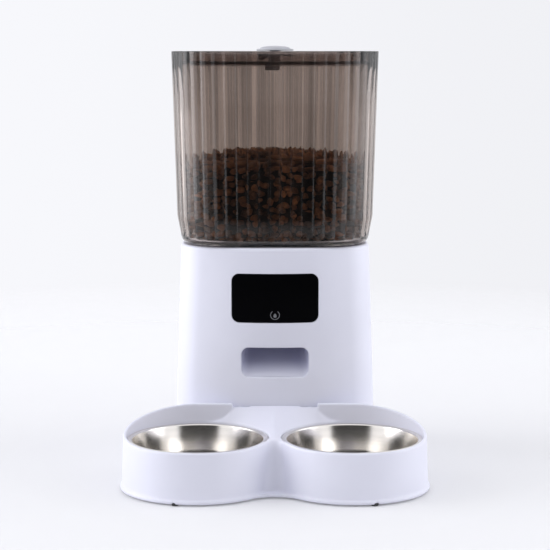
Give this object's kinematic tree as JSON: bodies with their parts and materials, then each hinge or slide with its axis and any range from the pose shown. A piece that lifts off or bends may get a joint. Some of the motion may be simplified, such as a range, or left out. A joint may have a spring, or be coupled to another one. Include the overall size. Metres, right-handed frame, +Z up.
{
  "type": "automatic pet feeder",
  "caption": "Free-standing pet feeder: a clear lidded hopper on a housing with a display and a food outlet, and a pull-off tray holding round steel bowls.",
  "frame": {"origin": "middle of the feeder's footprint, on the floor", "axes": "+Z up; -Y is the front, where the bowls are; +X is to the right as seen from the front"},
  "size_m": [0.271, 0.312, 0.385],
  "materials": {
    "white_plastic": "fine satin moulded plastic",
    "smoke_clear": "clear smoke-tinted plastic, polished",
    "lid_smoke": "clear smoke-tinted plastic, darker",
    "display_gloss": "black, mirror gloss",
    "bowl_steel": "spun stainless steel, polished",
    "foot_rubber": "matt rubber",
    "seal_rubber": "matt rubber",
    "knob_plastic": "light grey satin",
    "kibble": "dry baked food pieces, matt",
    "inner_grey": "moulded, matt",
    "chute_grey": "moulded, satin",
    "rotor_plastic": "moulded, satin",
    "gear_acetal": "natural acetal",
    "shaft_steel": "ground steel",
    "screw_steel": "zinc-plated steel",
    "motor_steel": "plated steel can",
    "bronze_bush": "sintered bronze",
    "circuit_board": "solder mask",
    "led_module": "potted",
    "cell_jacket": "shrink-wrapped cell",
    "black_plastic": "moulded, satin"
  },
  "bodies": {
    "root": {"body_shell": "white_plastic", "base_plate": "inner_grey", "base_screw_1": "screw_steel", "base_screw_2": "screw_steel", "base_screw_3": "screw_steel", "base_screw_4": "screw_steel", "body_foot_1": "foot_rubber", "body_foot_2": "foot_rubber", "body_foot_3": "foot_rubber", "body_foot_4": "foot_rubber", "battery_box": "inner_grey", "battery_1": "cell_jacket", "battery_2": "cell_jacket", "battery_3": "cell_jacket", "outlet_chute": "chute_grey", "display_window": "display_gloss", "led_module": "led_module", "display_board": "circuit_board", "metering_housing": "inner_grey", "shaft_bush": "bronze_bush", "housing_cover": "inner_grey", "compound_axle": "shaft_steel", "motor_can": "motor_steel", "gearbox_base": "black_plastic", "gearbox_cover": "black_plastic", "gearbox_screw_1": "screw_steel", "gearbox_screw_2": "screw_steel", "gearbox_screw_3": "screw_steel", "main_board": "circuit_board", "dc_jack": "black_plastic"},
    "battery_door": {"battery_door": "inner_grey"},
    "rotor": {"rotor": "rotor_plastic", "rotor_shaft": "shaft_steel", "rotor_gear": "gear_acetal"},
    "compound": {"compound_gear": "gear_acetal"},
    "motor_rotor": {"motor_pinion": "gear_acetal", "motor_shaft": "shaft_steel"},
    "hopper": {"hopper": "smoke_clear", "kibble_fill": "kibble"},
    "lid": {"lid": "lid_smoke", "lid_gasket": "seal_rubber", "latch_cover": "lid_smoke"},
    "knob": {"lid_knob": "knob_plastic", "latch_pinion": "gear_acetal"},
    "bolt_front": {"latch_bolt_front": "black_plastic"},
    "bolt_rear": {"latch_bolt_rear": "black_plastic"},
    "tray": {"bowl_tray": "white_plastic", "tray_foot_1": "foot_rubber", "tray_foot_2": "foot_rubber", "tray_foot_3": "foot_rubber", "tray_foot_4": "foot_rubber"},
    "bowl_left": {"bowl_left": "bowl_steel"},
    "bowl_right": {"bowl_right": "bowl_steel"}
  },
  "joints": [
    {"name": "battery_door_pull", "type": "slide", "parent": "root", "child": "battery_door", "axis": [0, 0, -1], "range_m": [0, 0.03]},
    {"name": "rotor_spin", "type": "hinge", "parent": "root", "child": "rotor", "pos_m": [0, 0.066, 0.133], "axis": [0, 0, 1], "continuous": true},
    {"name": "compound_spin", "type": "hinge", "parent": "root", "child": "compound", "pos_m": [0.02598, 0.081, 0.1026], "axis": [0, 0, 1], "continuous": true},
    {"name": "motor_spin", "type": "hinge", "parent": "root", "child": "motor_rotor", "pos_m": [0.05348, 0.081, 0.1016], "axis": [0, 0, 1], "continuous": true},
    {"name": "hopper_lift", "type": "slide", "parent": "root", "child": "hopper", "axis": [0, 0, 1], "range_m": [0, 0.06]},
    {"name": "lid_lift", "type": "slide", "parent": "hopper", "child": "lid", "axis": [0, 0, 1], "range_m": [0, 0.05]},
    {"name": "knob_turn", "type": "hinge", "parent": "lid", "child": "knob", "pos_m": [0, 0.066, 0.38], "axis": [0, 0, -1], "range_deg": [0, 90]},
    {"name": "bolt_front_draw", "type": "slide", "parent": "lid", "child": "bolt_front", "axis": [0, 1, 0], "range_m": [0, 0.0079]},
    {"name": "bolt_rear_draw", "type": "slide", "parent": "lid", "child": "bolt_rear", "axis": [0, -1, 0], "range_m": [0, 0.0079]},
    {"name": "tray_pull", "type": "slide", "parent": "root", "child": "tray", "axis": [0, -1, 0], "range_m": [0, 0.04]},
    {"name": "bowl_left_lift", "type": "slide", "parent": "tray", "child": "bowl_left", "axis": [0, 0, 1], "range_m": [0, 0.05]},
    {"name": "bowl_right_lift", "type": "slide", "parent": "tray", "child": "bowl_right", "axis": [0, 0, 1], "range_m": [0, 0.05]}
  ],
  "couplings": [
    {"joint": "compound_spin", "follows": "rotor_spin", "ratio": -3},
    {"joint": "motor_spin", "follows": "rotor_spin", "ratio": 8},
    {"joint": "bolt_front_draw", "follows": "knob_turn", "m_per_rad": 0.005},
    {"joint": "bolt_rear_draw", "follows": "knob_turn", "m_per_rad": 0.005}
  ]
}
